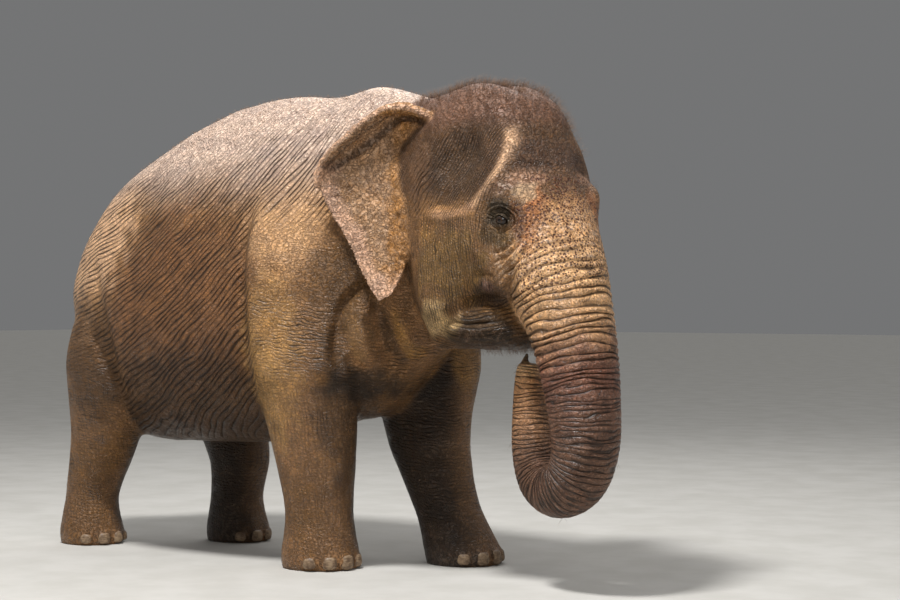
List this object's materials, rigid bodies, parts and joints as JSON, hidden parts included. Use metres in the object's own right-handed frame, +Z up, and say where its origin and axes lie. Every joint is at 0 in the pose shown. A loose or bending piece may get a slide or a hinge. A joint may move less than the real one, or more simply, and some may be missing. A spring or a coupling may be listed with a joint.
{
  "type": "asian elephant model",
  "caption": "Life-size still model of an adult, tuskless Asian elephant cow standing in mid-step, head turned a little, trunk curled back towards the mouth.",
  "frame": {"origin": "on the ground, under the middle of the whole figure's box", "axes": "+X towards the head, along the body's length; +Y to the animal's left; +Z up"},
  "size_m": [3.6492, 1.24, 2.3268],
  "materials": {
    "hide": "wrinkled matt",
    "face_hide": "wrinkled matt",
    "trunk_hide": "ringed, freckled matt",
    "ear_hide": "grained matt",
    "foot_hide": "cracked matt",
    "eye": "wet gloss",
    "tuft_hair": "coarse bristle"
  },
  "bodies": {
    "root": {"torso_hind": "hide", "torso_fore": "hide", "neck": "hide", "head": "face_hide", "lower_jaw": "face_hide", "trunk_1": "trunk_hide", "trunk_2": "trunk_hide", "trunk_3": "trunk_hide", "trunk_4": "trunk_hide", "trunk_5": "trunk_hide", "ear_right": "ear_hide", "ear_left": "ear_hide", "eye_right": "eye", "eye_left": "eye", "tail_upper": "hide", "tail_lower": "hide", "tail_tuft": "tuft_hair", "foreleg_upper_right": "hide", "foreleg_lower_right": "hide", "forefoot_right": "foot_hide", "hindleg_upper_right": "hide", "hindleg_lower_right": "hide", "hindfoot_right": "foot_hide", "foreleg_upper_left": "hide", "foreleg_lower_left": "hide", "forefoot_left": "foot_hide", "hindleg_upper_left": "hide", "hindleg_lower_left": "hide", "hindfoot_left": "foot_hide"}
  },
  "joints": []
}
